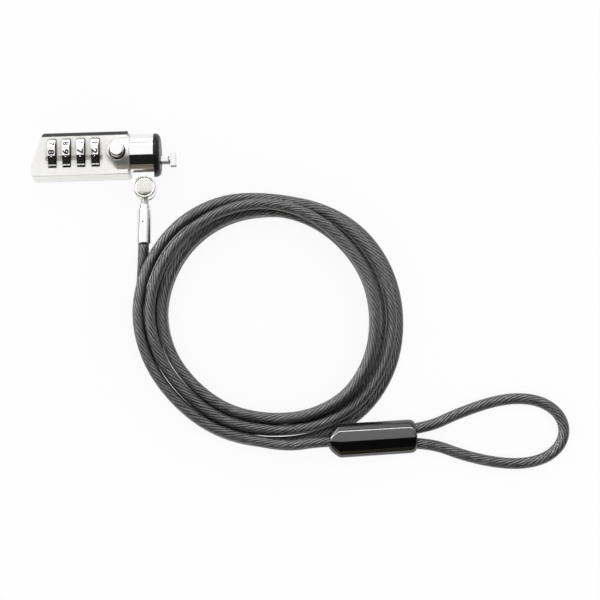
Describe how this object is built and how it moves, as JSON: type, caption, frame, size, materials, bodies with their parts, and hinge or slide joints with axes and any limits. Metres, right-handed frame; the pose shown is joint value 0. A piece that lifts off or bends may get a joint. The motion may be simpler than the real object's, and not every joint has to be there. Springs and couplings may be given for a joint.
{
  "type": "laptop cable lock",
  "caption": "Combination lock with turning number dials, a push button and a swivelling coiled cable that ends in an anchor loop, for securing a laptop.",
  "frame": {"origin": "on the head's axis, in the outer face of the end cap that seats against the computer", "axes": "+X along the lock out of the end cap, +Z out of the dial face, +Y away from the cable's side"},
  "size_m": [0.2114, 0.1394, 0.0216],
  "materials": {
    "satin_silver": "satin silver",
    "black_trim": "gloss black",
    "dark_steel": "dark plated",
    "inner_plastic": "matte",
    "spring_steel": "bright",
    "inner_steel": "machined",
    "polished": "polished",
    "sleeve_rubber": "gloss black moulding",
    "crimp_metal": "pressed",
    "sheathed_rope": "clear sheath over steel rope",
    "dial_number": "polished with dark digits",
    "brass": "turned"
  },
  "bodies": {
    "lock_body": {"housing": "satin_silver", "side_cover": "black_trim", "side_cover_screws": "dark_steel", "back_plate": "satin_silver", "back_plate_screws": "dark_steel", "dial_cradle": "inner_plastic", "detent_springs": "spring_steel", "end_cap": "black_trim", "slot_guide": "polished", "button_spring": "spring_steel", "spindle_spring": "spring_steel"},
    "spindle": {"spindle": "inner_steel"},
    "button": {"button": "polished", "button_slider": "inner_steel"},
    "locking_bar": {"locking_bar": "polished", "bar_clip": "spring_steel", "bar_pinion": "inner_steel"},
    "collar": {"swivel_collar": "polished", "knuckle_rivet": "polished", "knuckle_badge": "polished"},
    "knuckle": {"cable_eye": "polished", "swivel_pin": "inner_steel"},
    "cable_end": {"ferrule": "polished", "security_cable": "sheathed_rope", "sleeve_cover": "sleeve_rubber", "crimp_barrel": "crimp_metal", "anchor_loop": "sheathed_rope"},
    "dial_1": {"dial_1": "dial_number", "code_wheel_1": "brass"},
    "dial_2": {"dial_2": "dial_number", "code_wheel_2": "brass"},
    "dial_3": {"dial_3": "dial_number", "code_wheel_3": "brass"},
    "dial_4": {"dial_4": "dial_number", "code_wheel_4": "brass"}
  },
  "joints": [
    {"name": "dial_1_turn", "type": "hinge", "parent": "lock_body", "child": "dial_1", "pos_m": [-0.043, 0.0008, 0.0024], "axis": [1, 0, 0], "continuous": true},
    {"name": "dial_2_turn", "type": "hinge", "parent": "lock_body", "child": "dial_2", "pos_m": [-0.03724, 0.0008, 0.0024], "axis": [1, 0, 0], "continuous": true},
    {"name": "dial_3_turn", "type": "hinge", "parent": "lock_body", "child": "dial_3", "pos_m": [-0.03148, 0.0008, 0.0024], "axis": [1, 0, 0], "continuous": true},
    {"name": "dial_4_turn", "type": "hinge", "parent": "lock_body", "child": "dial_4", "pos_m": [-0.02572, 0.0008, 0.0024], "axis": [1, 0, 0], "continuous": true},
    {"name": "button_press", "type": "slide", "parent": "lock_body", "child": "button", "axis": [0, 0, -1], "range_m": [0, 0.0022], "stiffness_N_per_m": 400, "springref_m": -0.0015, "deforming": ["button_spring"]},
    {"name": "spindle_slide", "type": "slide", "parent": "lock_body", "child": "spindle", "axis": [-1, 0, 0], "range_m": [0, 0.0022], "deforming": ["spindle_spring"]},
    {"name": "bar_turn", "type": "hinge", "parent": "lock_body", "child": "locking_bar", "pos_m": [0, -0.0022, 0], "axis": [-1, 0, 0], "range_deg": [0, 90]},
    {"name": "collar_turn", "type": "hinge", "parent": "lock_body", "child": "collar", "pos_m": [-0.007, 0, 0], "axis": [1, 0, 0], "continuous": true},
    {"name": "knuckle_swing", "type": "hinge", "parent": "collar", "child": "knuckle", "pos_m": [-0.00655, -0.0138, 0], "axis": [0, 0, 1], "range_deg": [-65, 65]},
    {"name": "cable_swivel", "type": "hinge", "parent": "knuckle", "child": "cable_end", "pos_m": [-0.00655, -0.0138, 0], "axis": [-0.0436, -0.999, 0], "continuous": true}
  ],
  "couplings": [
    {"joint": "spindle_slide", "follows": "button_press", "ratio": 1},
    {"joint": "bar_turn", "follows": "button_press", "rad_per_m": 714.29}
  ]
}
